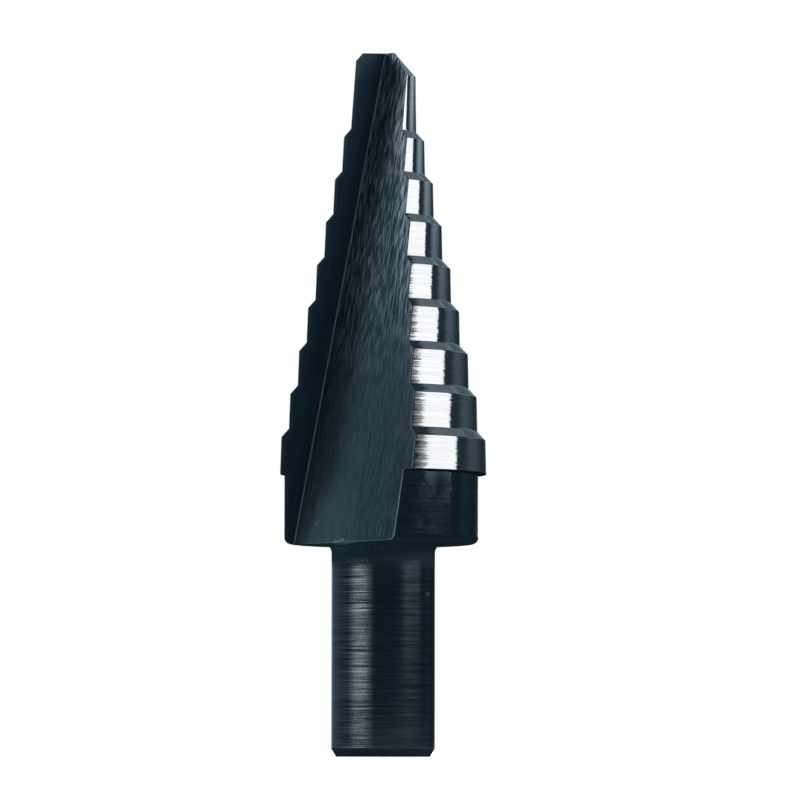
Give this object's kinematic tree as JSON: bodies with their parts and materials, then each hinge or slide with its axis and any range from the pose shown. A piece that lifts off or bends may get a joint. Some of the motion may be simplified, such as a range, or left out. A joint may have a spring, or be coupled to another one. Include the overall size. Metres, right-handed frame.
{
  "type": "step drill",
  "caption": "Straight-flute step drill with relieved, stepped cutting lands, a plain collar and a round shank, standing on its shank end.",
  "frame": {"origin": "middle of the shank's flat end face, on which the drill stands", "axes": "+Z along the shank towards the point; the flute opens towards -Y and the cutting edge lies on the -X side"},
  "size_m": [0.019, 0.0186, 0.0651],
  "materials": {
    "oxide_steel": "black oxide over ground tool steel, glossy on the lands, brushed in the flute and satin on the shank"
  },
  "bodies": {
    "root": {"step_drill": "oxide_steel"}
  },
  "joints": []
}
